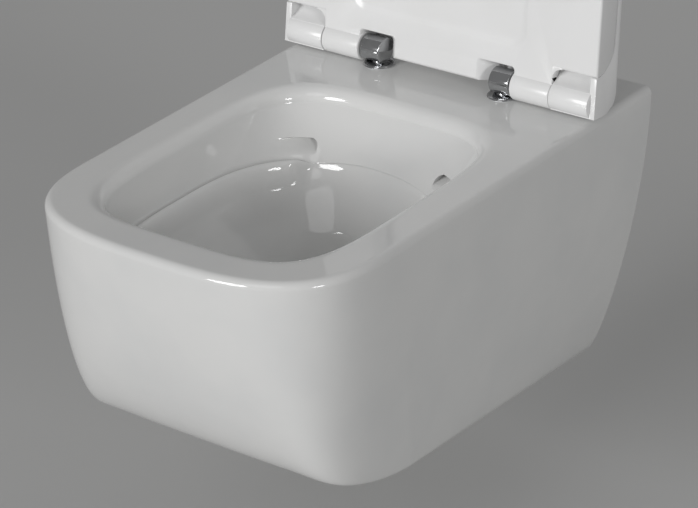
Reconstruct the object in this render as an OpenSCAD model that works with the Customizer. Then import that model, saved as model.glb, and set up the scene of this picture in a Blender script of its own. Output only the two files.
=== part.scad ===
// Wall hung toilet: a square-fronted ceramic pan, and a soft-close seat and lid
// on two chrome hinges, both raised. Sizes are in millimetres. X runs to the
// right as seen from the front, Y towards the wall and Z up. The origin is on
// the wall face, midway between the two wall fixings.

/* [Pan] */
// Width of the pan at the wall
pan_w = 383; // [365:1:400]
// Width of the pan where its front corners begin
front_w = 372; // [355:1:390]
// Depth of the pan from the wall to its front
pan_d = 564; // [540:1:600]
// Length of the rounded front corners
corner_l = 142; // [125:1:160]
// Squareness of the front corners, where 2 is an ellipse
corner_n = 3; // [2.6:0.1:3.6]
// Height of the pan at the wall
pan_h = 330; // [322:1:350]
// Height of the foot's edge at the front
front_h = 232; // [226:1:250]
// Width of the foot at the wall
foot_w = 182; // [170:1:220]
// Width of the foot where its front corners begin
foot_front_w = 320; // [300:1:330]
// Depth of the foot from the wall to its front
foot_d = 487; // [470:1:500]
// Length of the foot's front corners
foot_corner_l = 104; // [95:1:115]
// Squareness of the foot's front corners
foot_n = 4.4; // [3.6:0.1:4.8]
// Share of the sides' taper that is spread over their whole height
side_share = 0.71; // [0.65:0.01:0.76]
// Power by which that taper grows with depth
side_p = 1.6; // [1.5:0.05:1.7]
// Tightness of the lower edge along the sides
side_m = 7; // [6:0.5:8]
// Tightness of the lower edge at the front corners
corner_m = 3.7; // [3:0.1:5]
// Tightness of the lower edge at the front
front_m = 1.8; // [1.7:0.1:2.4]
// Radius of the outer edge of the rim
rim_r = 8; // [5:0.5:10]
// Thickness of the ceramic walls
wall = 11; // [9:0.5:13]
// Thickness of the flat deck and rim
deck_t = 14; // [12:0.5:16]

/* [Bowl] */
// Width between the upright walls of the bowl
bowl_w = 272; // [260:1:284]
// Distance from the pan's front to the bowl's front wall
bowl_front = 53; // [48:1:60]
// Distance from the wall face to the bowl's back wall
bowl_back = 175; // [172:1:180]
// Radius of the lip round the bowl
lip_r = 14; // [10:0.5:16]
// Squareness of the bowl's opening
bowl_n = 4.3; // [3.6:0.1:5]
// Depth of the upright wall of the bowl
bowl_wall_h = 56; // [53:1:60]
// How far the bowl's back wall leans forward on its way down
back_lean = 40; // [36:1:44]
// Depth of the groove at the foot of the wall
groove = 3; // [1.5:0.5:4]
// Width of the shelf that carries the flush round the bowl
shelf_w = 12; // [9:0.5:14]
// Depth of the sump below the rim
sump_h = 250; // [245:1:254]
// Width of the sump
sump_w = 80; // [72:1:88]

/* [Trap] */
// Bore of the trap
trap_d = 52; // [50:0.5:54]
// Radius of the trap's bends
bend_r = 45; // [43:0.5:47]
// Depth of the water seal
seal_h = 50; // [50:0.5:52]
// Thickness of the trap's wall
trap_wall = 9; // [7:0.5:10]

/* [Wall interface] */
// Distance between the two wall fixings
fix_gap = 180; // [180, 230]
// Height of the rim above the wall fixings
rim_z = 80; // [78:1:84]
// Bore of the sleeve round each wall stud
stud_d = 12.5; // [12.5:0.5:13.5]
// Hole in the ceramic for each sleeve
fix_d = 22; // [20:0.5:24]
// Thickness of the web that carries the fixings
web_t = 18; // [14:1:22]
// Height of the flush inlet above the fixings
inlet_z = 35; // [35:1:37]
// Diameter of the flush inlet
inlet_d = 55; // [54:0.5:56]
// Depth of the flush inlet's wide mouth
inlet_l = 40; // [30:1:50]
// Bore of the seal that takes the flush pipe
pipe_d = 45; // [44:0.5:46]
// Drop from the flush inlet to the waste outlet
outlet_drop = 135; // [133:1:137]
// Outside diameter of the waste spigot
spigot_d = 102; // [100:0.5:104]
// Length of the waste spigot that a connector can cover
spigot_l = 80; // [70:1:90]

/* [Flush] */
// Width of one flush outlet
jet_w = 52; // [44:1:56]
// Height of one flush outlet
jet_h = 13; // [10:0.5:14]
// Distance between the two flush outlets
jet_gap = 146; // [140:1:152]
// Depth of the top of the flush outlets below the rim
jet_top = 42; // [39:0.5:45]

/* [Seat and lid] */
// How far the seat and lid open from the closed position, in degrees
open_angle = 98.5; // [92:0.5:98.5]
// Overhang of the seat and lid past the pan
over = 2.5; // [1:0.5:4]
// Height of the seat's underside above the rim when closed
seat_gap = 7.6; // [6:0.1:9]
// Thickness of the seat
seat_t = 30; // [28:0.5:31]
// Radius of the seat's outer edges
seat_r = 3; // [2:0.5:4]
// Gap between the seat and the lid
lid_gap = 0.8; // [0.5:0.1:1.2]
// Thickness of the lid at its front
lid_t = 5.5; // [5:0.5:8]
// Extra thickness of the lid at its back
lid_rise = 4; // [2:0.5:5]
// Radius of the lid's outer edge
lid_r = 2.5; // [1.5:0.5:3]
// Width of the seat's opening
hole_w = 226; // [210:1:236]
// Length of the seat's opening
hole_l = 292; // [270:1:300]
// Distance from the hinge axis to the seat's opening
hole_y = 96; // [90:1:104]
// Squareness of the seat's opening
hole_n = 2.7; // [2.2:0.1:3.2]
// Depth of the recess under the back of the seat
recess_t = 2; // [1:0.5:3]
// Width of that recess
recess_w = 216; // [190:1:226]
// Width of the rubber buffers
buffer_w = 10; // [8:0.5:12]
// Length of the seat's buffers
buffer_l = 34; // [26:1:40]
// Distance from the wall to the seat's rear buffers
rear_buffer_y = 262; // [240:1:280]
// Distance from the wall to the seat's front buffers
front_buffer_y = 410; // [390:1:425]
// Diameter of the lid's buffers
pad_d = 12; // [9:0.5:14]
// Distance from the wall to the lid's buffers
pad_y = 440; // [400:1:460]

/* [Hinges] */
// Distance between the two hinge studs
hinge_gap = 155; // [150:1:160]
// Distance from the wall to the hinge axis
hinge_y = 98; // [98:0.5:102]
// Height of the hinge axis above the rim
hinge_z = 17; // [16.8:0.1:18]
// Diameter of the chrome knuckles
knuckle_d = 27.4; // [25:0.2:27.4]
// Length of a chrome knuckle
knuckle_l = 23.5; // [21:0.5:25]
// Distance from a stud to its knuckle's inner face
knuckle_in = 9; // [7:0.5:11]
// Diameter of the seat's and lid's barrels
barrel_d = 31; // [29.5:0.5:31]
// Length of each barrel of the seat
barrel_l = 46.5; // [42:0.5:50]
// Gap between a knuckle and the seat
barrel_gap = 2.4; // [1.8:0.1:3]
// Diameter of the hinge pins
pin_d = 10; // [8:0.5:10]
// Diameter of the damper sockets
socket_d = 16; // [15:0.5:18]
// Length of the bush in each ear of the lid
bush_l = 24; // [20:1:28]
// Thickness of the outer wall of each ear
ear_t = 7; // [5:0.5:9]
// Diameter of the cover discs
disc_d = 33; // [30:0.5:33]
// Gap between a cover disc and the seat's barrel beside it
disc_gap = 0.4; // [0.3:0.1:0.8]
// Thickness of the cover discs
disc_t = 2; // [1.5:0.1:2]
// Thickness of the washers under the discs
washer_t = 1; // [0.8:0.1:1]
// Diameter of the hinge studs
bolt_d = 8; // [6:0.5:8]
// Hole in the deck for each hinge stud
bolt_hole_d = 14; // [13:0.5:15]
// Height of the rubber plug's flange
plug_t = 5; // [3:0.5:7]
// Height of the nuts
nut_t = 6.5; // [5:0.5:8]
// Running clearance of pins, bushes and studs
fit = 0.05; // [0.03:0.01:0.08]

/* [Hidden] */
web_h = 48;                             // height of the web that the studs pass
rear_cut = max(inlet_l, web_t + 3) + 2; // depth of the casting's two rear nodes
under_web = -web_h/2 - 2;               // height of the plane between them
$fn = 48;
eps = 0.01;
side_steps = 5;         // stations along each side
corner_steps = 11;      // stations round each front corner
oval_steps = 9;         // stations round each quarter of an oval

// Colours, as seen
glaze = "white";
plastic = "whitesmoke";
chrome = "silver";
rubber = "gainsboro";

// Outlines
corner_y = -(pan_d - corner_l);
function half_w(y) = (pan_w + (front_w - pan_w)*y/corner_y)/2;
function mirrored(p) = [-p[0], p[1], -p[2], p[3]];
function spread(i, n) = 45*(1 - cos(180*i/n));
// One station is [x, y, normal x, normal y]. The outline runs from the back
// left, past the front, to the back right.
function side_stations(y0) =
    [for (i = [0:side_steps - 1])
        let (y = y0 + (corner_y - y0)*i/side_steps) [half_w(y), y, 1, 0]];
function corner_stations() =
    [for (i = [0:corner_steps])
        let (a = spread(i, corner_steps), c = cos(a), s = sin(a), e = 2 - 2/corner_n,
             g = [pow(c, e)*2/front_w, pow(s, e)/corner_l], m = norm(g))
        [front_w/2*pow(c, 2/corner_n), corner_y - corner_l*pow(s, 2/corner_n),
         g[0]/m, -g[1]/m]];
function stations(y0) =
    let (right = concat(side_stations(y0), corner_stations()), n = len(right))
    concat([for (i = [0:n - 2]) mirrored(right[i])], [for (i = [n - 1:-1:0]) right[i]]);
function offset_ring(outline, off, z) =
    [for (p = outline) [p[0] + p[2]*off, p[1] + p[3]*off, z]];

// An oval with squared ends, as a closed ring. n is its squareness at the
// front and nb at the back.
function quarter(half, reach, n) = [for (i = [0:oval_steps]) let (a = spread(i, oval_steps))
    [half*pow(cos(a), 2/n), reach*pow(sin(a), 2/n)]];
function oval(half, y_front, y_back, n, nb, z) =
    let (mid = (y_front + y_back)/2, reach = (y_back - y_front)/2,
         back = [for (q = quarter(half, reach, nb)) [q[0], mid + q[1], z]],
         front = [for (q = quarter(half, reach, n)) [q[0], mid - q[1], z]],
         last = oval_steps)
    concat([for (i = [0:last]) back[i]],
           [for (i = [last - 1:-1:0]) [-back[i][0], back[i][1], z]],
           [for (i = [1:last]) [-front[i][0], front[i][1], z]],
           [for (i = [last - 1:-1:1]) front[i]]);

// Closed skin over a stack of rings, from the top ring down. A ring that
// mirrors about x = 0 is capped by strips across its width.
module skin(rings, strips = false) {
    n = len(rings[0]);
    m = len(rings);
    half = floor(n/2);
    walls = [for (j = [0:m - 2], i = [0:n - 1])
        let (a = j*n + i, b = j*n + (i + 1) % n)
        each [[a, b, b + n], [a, b + n, a + n]]];
    function strip(base) = [for (i = [0:half - 1])
        i + 1 == n - 2 - i ? [base + i, base + i + 1, base + n - 1 - i]
                           : [base + i, base + i + 1, base + n - 2 - i, base + n - 1 - i]];
    function turned(f) = [for (i = [len(f) - 1:-1:0]) f[i]];
    top = strips ? [for (f = strip(0)) turned(f)] : [[for (i = [n - 1:-1:0]) i]];
    bottom = strips ? strip((m - 1)*n) : [[for (i = [0:n - 1]) (m - 1)*n + i]];
    polyhedron(points = [for (r = rings) each r], faces = concat(walls, top, bottom));
}

// Pan: the outer shape, lofted from the rim's outline to the foot's. A joint
// station is [rim x, rim y, normal x, normal y, foot x, foot y].
foot_corner_y = -(foot_d - foot_corner_l);
function loft_half(y0) = concat(
    [for (i = [0:side_steps - 1])
        let (y = y0 + (corner_y - y0)*i/side_steps, v = y/corner_y)
        [half_w(y), y, 1, 0, (foot_w + (foot_front_w - foot_w)*v)/2, foot_corner_y*v]],
    [for (i = [0:corner_steps])
        let (rim = corner_stations()[i], a = spread(i, corner_steps))
        [rim[0], rim[1], rim[2], rim[3], foot_front_w/2*pow(cos(a), 2/foot_n),
         foot_corner_y - foot_corner_l*pow(sin(a), 2/foot_n)]]);
function loft_stations(y0) =
    let (right = loft_half(y0), n = len(right))
    concat([for (i = [0:n - 2]) let (p = right[i]) [-p[0], p[1], -p[2], p[3], -p[4], p[5]]],
           [for (i = [n - 1:-1:0]) right[i]]);
function foot(y) = pan_h + (front_h - pan_h)*(-y)/pan_d;
// How far a station has moved from the rim's outline to the foot's at a depth
function shift(p, u) =
    let (w = p[3]*p[3], c = side_share*(1 - w),
         m = side_m + (front_m - side_m)*w + 4*w*(1 - w)*(corner_m - (side_m + front_m)/2))
    c*pow(u, side_p) + (1 - c)*(1 - pow(1 - pow(u, m), 1/m));
function loft_point(p, w, t) =
    let (f = shift(p, min(1, (t + w)/foot(p[1]))))
    [p[0] + (p[4] - p[0])*f - p[2]*w, p[1] + (p[5] - p[1])*f - p[3]*w, rim_z - t];
module shell(w, top, y0) {
    outline = loft_stations(y0);
    lip = w > 0 ? [] : [for (b = [0:30:60])
        [for (p = outline) let (o = rim_r*(1 - sin(b)))
            [p[0] - p[2]*o, p[1] - p[3]*o, rim_z - rim_r*(1 - cos(b))]]];
    start = w > 0 ? top : rim_r;
    sides = [for (k = [0:11]) let (u = 1 - pow(1 - k/11, 1.9))
        [for (p = outline) loft_point(p, w, start + (foot(p[1]) - w - start)*u)]];
    skin(concat(lip, sides), strips = true);
}

// Pan: the bowl. A level is [depth, side, front and back offset, squareness at
// the front and at the back], each offset measured inwards from the upright wall.
trap_r = trap_d/2;
sump_y = -305;
crown_y = -172;                               // centre of the trap's crown
crown_z = -(sump_h - trap_d - seal_h) - bend_r + trap_r;
riser_back = -crown_y + bend_r + trap_r + trap_wall - bowl_back;
edge = [3 + shelf_w, 4 + shelf_w, back_lean + 1];
sump = [bowl_w/2 - sump_w/2, pan_d - bowl_front + sump_y - trap_r - 16, riser_back + 4];
// A funnel level, as shares of the way from the ledge's edge to the sump
function funnel(t, side, front, back, n, nb) =
    [t, edge[0] + (sump[0] - edge[0])*side, edge[1] + (sump[1] - edge[1])*front,
     edge[2] + (sump[2] - edge[2])*back, n, nb];
// A wall level, as a share of the way from the lip to the foot of the wall
function wall_level(v, n) =
    [lip_r + (bowl_wall_h - lip_r)*v, 3*v, 4*v, back_lean*v, n, bowl_n - 1.2*v];
bowl_levels = concat(
    [[-1, -lip_r, -lip_r, -lip_r, bowl_n, bowl_n]],
    [for (a = [0:30:90]) let (o = -lip_r*(1 - sin(a)))
        [lip_r*(1 - cos(a)), o, o, o, bowl_n, bowl_n]],
    [wall_level(0.4, bowl_n), wall_level(0.7, bowl_n - 0.1), wall_level(1, bowl_n - 0.2),
     [bowl_wall_h + groove - 1, 5.5, 6.5, back_lean, bowl_n - 0.3, 2.9],
     [bowl_wall_h - 1, edge[0] - 3, edge[1] - 3, back_lean + 1, bowl_n - 0.5, 2.6]],
    [funnel(bowl_wall_h + 2, 0, 0, 0.02, 3.8, 2.45),
     funnel(82, 0.08, 0.05, 0.2, 3.4, 2.4),
     funnel(102, 0.24, 0.22, 0.5, 2.9, 2.35),
     funnel(122, 0.48, 0.46, 0.8, 2.5, 2.3),
     funnel(148, 0.75, 0.73, 0.92, 2.2, 2.2),
     funnel(176, 0.93, 0.91, 0.96, 2.1, 2.1),
     funnel(200, 1, 1, 1, 2, 2)],
    [[sump_h - 12, sump[0] + 5, sump[1] + 5, sump[2] + 4, 2, 2],
     [sump_h, sump[0] + 18, sump[1] + 18, sump[2] + 16, 2, 2]]);
module bowl_form(grow, first) {
    rings = [for (k = [first:len(bowl_levels) - 1])
        let (v = bowl_levels[k], t = v[0] + grow*min(1, max(0, v[0])/60))
        oval(bowl_w/2 - v[1] + grow, -(pan_d - bowl_front) + v[2] - grow,
             -bowl_back - v[3] + grow, v[4], v[5], rim_z - t)];
    skin(rings);
}

// Pan: the trap, from the sump over the weir to the spigot
low_z = -sump_h + trap_r;
spigot_z = inlet_z - outlet_drop;
bore_r = spigot_d/2 - 6;
// Points [y, z] along the middle of the trap, with the heading at each
function arc(y, z, a0, a1, n) =
    [for (i = [0:n]) let (a = a0 + (a1 - a0)*i/n, turn = a1 > a0 ? 1 : -1)
        [y + bend_r*cos(a), z + bend_r*sin(a), a + 90*turn]];
riser_y = crown_y - bend_r;
trap_path = concat([[sump_y, low_z, 0]],
    arc(riser_y - bend_r, low_z + bend_r, -90, 0, 6),
    arc(crown_y, crown_z, 180, 0, 12),
    [[crown_y + bend_r, spigot_z - rim_z + 20, -90]]);
module trap_run(grow) {
    skin([for (p = trap_path) [for (i = [0:23]) let (a = 15*i, r = trap_r + grow)
        [r*cos(a), p[0] - r*sin(a)*sin(p[2]), rim_z + p[1] + r*sin(a)*cos(p[2])]]]);
}

// Pan: the flush way, from the inlet to the two side outlets
way_h = 24;
way_d = 28;
way_y = -bowl_back - back_lean/2 + trap_wall;
jet_reach = 74;         // length of each outlet, which opens into the bowl
module rounded_bar(w, d, h, r) {
    translate([-w/2, 0, -h/2]) rotate([-90, 0, 0]) mirror([0, 1, 0])
        linear_extrude(d) offset(r) translate([r, r]) square([w - 2*r, h - 2*r]);
}
module flush_way(grow) {
    z = rim_z - jet_top - 5;
    translate([0, way_y - grow, z])
        rounded_bar(jet_gap + 2*jet_w - 40 + 2*grow, way_d + 2*grow, way_h + 2*grow,
                    6 + grow/2);
}
// The outlet's upper inner corner is round, and the others are tight
module jet(grow) {
    r = 7;
    x0 = jet_gap/2;
    z1 = rim_z - jet_top;
    translate([0, way_y + 12, 0]) rotate([90, 0, 0]) linear_extrude(jet_reach) hull() {
        translate([x0 + r, z1 - r]) circle(r + grow, $fn = 32);
        translate([x0 + jet_w - 2, z1 - 2]) circle(2 + grow, $fn = 32);
        translate([x0 + 1, z1 - jet_h + 1]) circle(1 + grow, $fn = 32);
        translate([x0 + jet_w - 2, z1 - jet_h + 2]) circle(2 + grow, $fn = 32);
    }
}

module along_y(x, z, y0, y1) {
    translate([x, y0, z]) rotate([-90, 0, 0]) linear_extrude(y1 - y0) children();
}

boss_h = 10;
module casting(bowl = false) {
    web_w = pan_w - wall - 10;
    difference() {
        union() {
            difference() {
                shell(0, 0, 0);
                shell(wall, deck_t, 5);
            }
            if (bowl) {
                bowl_form(wall, 3);
                trap_run(trap_wall);
                flush_way(trap_wall);
                for (m = [0, 1]) mirror([m, 0, 0]) jet(trap_wall - 3);
            }
            along_y(0, spigot_z, crown_y - 6, -spigot_l) circle(spigot_d/2 - 2);
            along_y(0, spigot_z, -spigot_l, 0) circle(spigot_d/2);
            along_y(0, inlet_z, way_y, 0) circle(inlet_d/2 + trap_wall - 1);
            translate([-web_w/2, -web_t, -web_h/2]) cube([web_w, web_t, web_h]);
            for (s = [-1, 1]) translate([s*hinge_gap/2, -hinge_y, rim_z - deck_t - boss_h])
                cylinder(r = bolt_hole_d/2 + 9, h = boss_h + 1);
        }
        if (bowl) {
            bowl_form(0, 0);
            trap_run(0);
            flush_way(0);
            for (m = [0, 1]) mirror([m, 0, 0]) jet(0);
        }
        along_y(0, spigot_z, crown_y + 4, 1) circle(bore_r);
        along_y(0, inlet_z, -inlet_l, 1) circle(inlet_d/2);
        along_y(0, inlet_z, way_y + 12, 0) circle(inlet_d/2 - 7);
        for (s = [-1, 1]) {
            along_y(s*fix_gap/2, 0, -web_t - 1, 1) circle(fix_d/2);
            translate([s*hinge_gap/2, -hinge_y, rim_z - deck_t - boss_h - 1])
                cylinder(r = bolt_hole_d/2, h = deck_t + boss_h + 2);
        }
    }
}

// The casting is one piece, kept as three nodes so that no node that is cut into wedges around
// a wall bore also holds the bowl. They meet on two planes
module slab(y0, y1, z0, z1) {
    translate([-pan_w, y0, z0]) cube([2*pan_w, y1 - y0, z1 - z0]);
}
module pan() {
    color(glaze) intersection() {
        casting(true);
        slab(-2*pan_d, -rear_cut, -2*pan_h, 2*pan_h);
    }
}
module pan_fixing_wall() {
    color(glaze) intersection() {
        casting();
        slab(-rear_cut, rear_cut, under_web, 2*pan_h);
    }
}
module pan_outlet_end() {
    color(glaze) intersection() {
        casting();
        slab(-rear_cut, rear_cut, -2*pan_h, under_web);
    }
}

// Wall fixings
module fixing_sleeves() {
    color(rubber) for (s = [-1, 1]) difference() {
        union() {
            along_y(s*fix_gap/2, 0, -web_t - 3, 0) circle(fix_d/2 - fit);
            along_y(s*fix_gap/2, 0, -web_t - 3, -web_t) circle(fix_d/2 + 4);
        }
        along_y(s*fix_gap/2, 0, -web_t - 4, 1) circle(stud_d/2);
    }
}

// Seal between the pan's inlet and the flush pipe
module inlet_seal() {
    color(rubber) difference() {
        along_y(0, inlet_z, -inlet_l, 0) circle(inlet_d/2 - fit);
        along_y(0, inlet_z, -inlet_l - 1, 1) circle(pipe_d/2);
    }
}

// Hinges, which stay on the pan
stud_x = hinge_gap/2;
knuckle_x = stud_x - knuckle_in;
barrel_x = max(knuckle_x + knuckle_l + barrel_gap, stud_x + disc_d/2 + disc_gap);
ear_x = barrel_x + barrel_l + lid_gap;
axis_z = rim_z + hinge_z;
deck_z = rim_z - deck_t - boss_h;       // underside of the bosses under the deck
module at_axis(x) {
    translate([x, -hinge_y, axis_z]) rotate([0, 90, 0]) children();
}
module at_stud(side, z) {
    translate([side*stud_x, -hinge_y, z]) children();
}
module disc_form(d, t, r, hole) {
    rotate_extrude() difference() {
        union() {
            square([d/2 - r, t]);
            square([d/2, t - r]);
            translate([d/2 - r, t - r]) circle(r);
        }
        translate([-1, -1]) square([hole/2 + 1, t + 2]);
    }
}
module hinge_washers() {
    color(rubber) for (s = [-1, 1]) at_stud(s, rim_z)
        disc_form(disc_d - 2, washer_t, 0.3, bolt_d + 2*fit);
}
module hinge_disc(side) {
    color(chrome) at_stud(side, rim_z + washer_t)
        disc_form(disc_d, disc_t, 0.8, bolt_d + 2*fit);
}
module hinge_knuckle(side) {
    r = knuckle_d/2;
    edge = 0.8;
    color(chrome) mirror([side < 0 ? 1 : 0, 0, 0]) difference() {
        at_axis(knuckle_x) rotate_extrude() polygon([[0, 0], [r - edge, 0], [r, edge],
            [r, knuckle_l - edge], [r - edge, knuckle_l], [0, knuckle_l]]);
        at_axis(knuckle_x + 3) cylinder(r = pin_d/2 + fit, h = knuckle_l);
        at_stud(1, axis_z - r - 1) cylinder(r = bolt_d/2 + fit, h = r + 1 - pin_d/2 - 1.5);
    }
}
module hinge_studs() {
    z0 = deck_z - plug_t - nut_t - 6;
    color(chrome) for (s = [-1, 1]) at_stud(s, z0)
        cylinder(r = bolt_d/2, h = axis_z - pin_d/2 - 2 - z0);
}
module hinge_pin(side) {
    color(chrome) mirror([side < 0 ? 1 : 0, 0, 0]) at_axis(knuckle_x + 3.2)
        cylinder(r = pin_d/2, h = ear_x + bush_l - 3 - knuckle_x - 3.2);
}
module hinge_plugs() {
    color(rubber) for (s = [-1, 1]) difference() {
        union() {
            at_stud(s, deck_z - plug_t) cylinder(r = bolt_hole_d/2 + 5, h = plug_t);
            at_stud(s, deck_z - 1) cylinder(r = bolt_hole_d/2 - fit, h = rim_z - deck_z);
        }
        at_stud(s, deck_z - plug_t - 1) cylinder(r = bolt_d/2 + fit, h = rim_z - deck_z + 20);
    }
}
module hinge_nuts() {
    color(chrome) for (s = [-1, 1]) at_stud(s, deck_z - plug_t - nut_t) difference() {
        cylinder(r = bolt_d*0.93, h = nut_t, $fn = 6);
        translate([0, 0, -1]) cylinder(r = bolt_d/2 + fit, h = nut_t + 2);
    }
}

// Seat and lid, drawn closed and then turned open about the hinge axis. In a
// profile a point is [distance in front of the axis, height above the axis].
module opened() {
    translate([0, -hinge_y, axis_z]) rotate([-open_angle, 0, 0])
        translate([0, hinge_y, -axis_z]) children();
}
module profile(x0, x1, points) {
    translate([x0, -hinge_y, axis_z]) rotate([90, 0, -90]) mirror([0, 0, 1])
        linear_extrude(x1 - x0) polygon(points);
}
far = pan_d;
seat_under = seat_gap - hinge_z;
seat_top = seat_under + seat_t;
lid_under = seat_top + lid_gap;
lid_front = lid_under + lid_t;
lid_back = lid_front + lid_rise;
// Where the lid's ear meets the seat, from the underside up
parting = [[28.5, seat_under - 20], [28.5, seat_under], [29.8, seat_under + 7.4],
           [35, seat_top - 12.9], [39.5, seat_top - 8], [44, seat_top - 3.8],
           [50, seat_top - 0.8], [57, seat_top + lid_gap]];
function moved(points, d) = [for (p = points) [p[0] + d, p[1]]];
module cover(s0, levels) {
    // One level is [height above the axis, its rise at the back, inward offset]
    outline = stations(-hinge_y - s0);
    skin([for (v = levels) [for (p = outline)
        let (back = 1 + (p[1] + hinge_y)/(pan_d - hinge_y), off = over - v[2])
        [p[0] + p[2]*off, p[1] + p[3]*off, axis_z + v[0] + v[1]*back]]], strips = true);
}
module seat_hole() {
    levels = [[seat_top + 1, 7], [seat_top, 6], [seat_top - 2, 2.4], [seat_top - 6, 0],
              [seat_under + 5, 0], [seat_under + 1, 1.2], [seat_under, 2.4],
              [seat_under - 1, 4]];
    y0 = -hinge_y - hole_y;
    skin([for (v = levels)
        oval(hole_w/2 + v[1], y0 - hole_l - v[1], y0 + v[1], hole_n, hole_n,
             axis_z + v[0])]);
}
module seat() {
    edges = concat(
        [for (b = [0:30:90]) [seat_top - 1.5*(1 - cos(b)), 0, 1.5*(1 - sin(b))]],
        [for (b = [90:-30:0]) [seat_under + seat_r*(1 - cos(b)), 0, seat_r*(1 - sin(b))]]);
    inner = knuckle_x - barrel_gap;
    color(plastic) opened() difference() {
        union() {
            intersection() {
                cover(-4, edges);
                profile(-pan_w, pan_w, [[-3, seat_under + 2], [-1, seat_under],
                    [far, seat_under], [far, seat_top], [1.5, seat_top],
                    [-1.7, seat_top - 1.3], [-3, seat_top - 4.5]]);
            }
            for (m = [0, 1]) mirror([m, 0, 0])
                at_axis(barrel_x) cylinder(r = barrel_d/2, h = barrel_l);
        }
        seat_hole();
        for (m = [0, 1]) mirror([m, 0, 0]) {
            at_axis(inner) cylinder(r = barrel_d/2 + 0.2, h = barrel_x - inner);
            at_axis(barrel_x - 1) cylinder(r = socket_d/2, h = barrel_l + 2);
            profile(barrel_x + barrel_l, pan_w,
                concat([[-far, seat_under - 20]], moved(parting, lid_gap),
                       [[57, seat_top + 9], [-far, seat_top + 9]]));
        }
        translate([-recess_w/2, -hinge_y - hole_y - 30, axis_z + seat_under - 1])
            rounded_plate(recess_w, hole_y - 10, recess_t + 1, 16);
    }
}
module rounded_plate(w, l, t, r) {
    for (x = [r, w - r]) for (y = [r, l - r]) translate([x, y, 0]) cylinder(r = r, h = t);
    translate([r, 0, 0]) cube([w - 2*r, l, t]);
    translate([0, r, 0]) cube([w, l - 2*r, t]);
}
module seat_damper(side) {
    color(rubber) opened() mirror([side < 0 ? 1 : 0, 0, 0]) difference() {
        at_axis(barrel_x) cylinder(r = socket_d/2 - fit, h = barrel_l);
        at_axis(barrel_x - 1) cylinder(r = pin_d/2 + fit, h = barrel_l + 2);
    }
}
// Halfway across the flat of the rim beside the bowl
rim_mid = (bowl_w/2 + lip_r + half_w(-rear_buffer_y) - rim_r)/2;
module seat_buffer(side, y) {
    t = seat_gap - 0.3;
    color(rubber) opened() translate([side*rim_mid - buffer_w/2, -y - buffer_l/2,
                                      axis_z + seat_under - t])
        rounded_plate(buffer_w, buffer_l, t, buffer_w/2 - 0.1);
}

// The ear's profile, from the underside at the back over the top
ear_back = barrel_d/2 - 2.2;
lid_profile = [[-ear_back, seat_under], [-ear_back + 0.3, seat_under + 13],
               [-ear_back + 1.5, seat_under + 20.5], [-ear_back + 4, seat_under + 26],
               [-ear_back + 8, seat_top + 3], [-ear_back + 12.5, lid_back - 4.1],
               [-ear_back + 18, lid_back - 2.2], [-ear_back + 24, lid_back - 0.9],
               [-ear_back + 31, lid_back - 0.2], [-ear_back + 38, lid_back + 1],
               [far, lid_back + 1], [far, seat_under]];
// The hollow in front of the barrel inside each ear
scoop = [[0, seat_under - 20], [12, seat_under - 1], [14.5, seat_under + 3.5],
         [18, seat_under + 8.5], [22.5, seat_under + 12.8], [28, seat_under + 16.4],
         [40, seat_under + 21], [40, seat_under - 20]];
module ear_barrel() {
    at_axis(ear_x) cylinder(r = barrel_d/2, h = half_w(-hinge_y) + over - ear_t + 1 - ear_x);
}
module lid() {
    edges = concat(
        [for (b = [0:30:90]) [lid_front - lid_r*(1 - cos(b)), lid_rise, lid_r*(1 - sin(b))]],
        [[lid_under + 0.8, 0, 0], [seat_under, 0, 0]]);
    color(plastic) opened() difference() {
        union() {
            difference() {
                intersection() {
                    cover(-ear_back - 1, edges);
                    profile(-pan_w, pan_w, lid_profile);
                }
                profile(-pan_w, pan_w, concat(parting, [[far*2, lid_under],
                    [far*2, seat_under - 20]]));
                profile(-ear_x, ear_x, [[-far, lid_under], [60, lid_under],
                    [60, seat_under - 20], [-far, seat_under - 20]]);
                profile(-ear_x, ear_x, [[-far, lid_back + 9], [-4, lid_back + 9],
                    [-4, seat_under - 20], [-far, seat_under - 20]]);
                for (m = [0, 1]) mirror([m, 0, 0])
                    profile(ear_x - 1, half_w(-hinge_y) + over - ear_t, scoop);
            }
            for (m = [0, 1]) mirror([m, 0, 0]) ear_barrel();
        }
        for (m = [0, 1]) mirror([m, 0, 0]) {
            at_axis(ear_x - 1) cylinder(r = socket_d/2, h = bush_l + 1);
            translate([bowl_w/2 + lip_r/2, -pad_y, axis_z + lid_under - 1])
                cylinder(r = pad_d/2 + fit, h = 3);
        }
    }
}
module lid_bush(side) {
    color(rubber) opened() mirror([side < 0 ? 1 : 0, 0, 0]) difference() {
        at_axis(ear_x) cylinder(r = socket_d/2 - fit, h = bush_l);
        at_axis(ear_x - 1) cylinder(r = pin_d/2 + fit, h = bush_l + 2);
    }
}
module lid_buffer(side) {
    color(rubber) opened() translate([side*(bowl_w/2 + lip_r/2), -pad_y,
                                      axis_z + lid_under - lid_gap + 0.3])
        cylinder(r = pad_d/2, h = lid_gap - 0.3 + 2);
}

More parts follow.
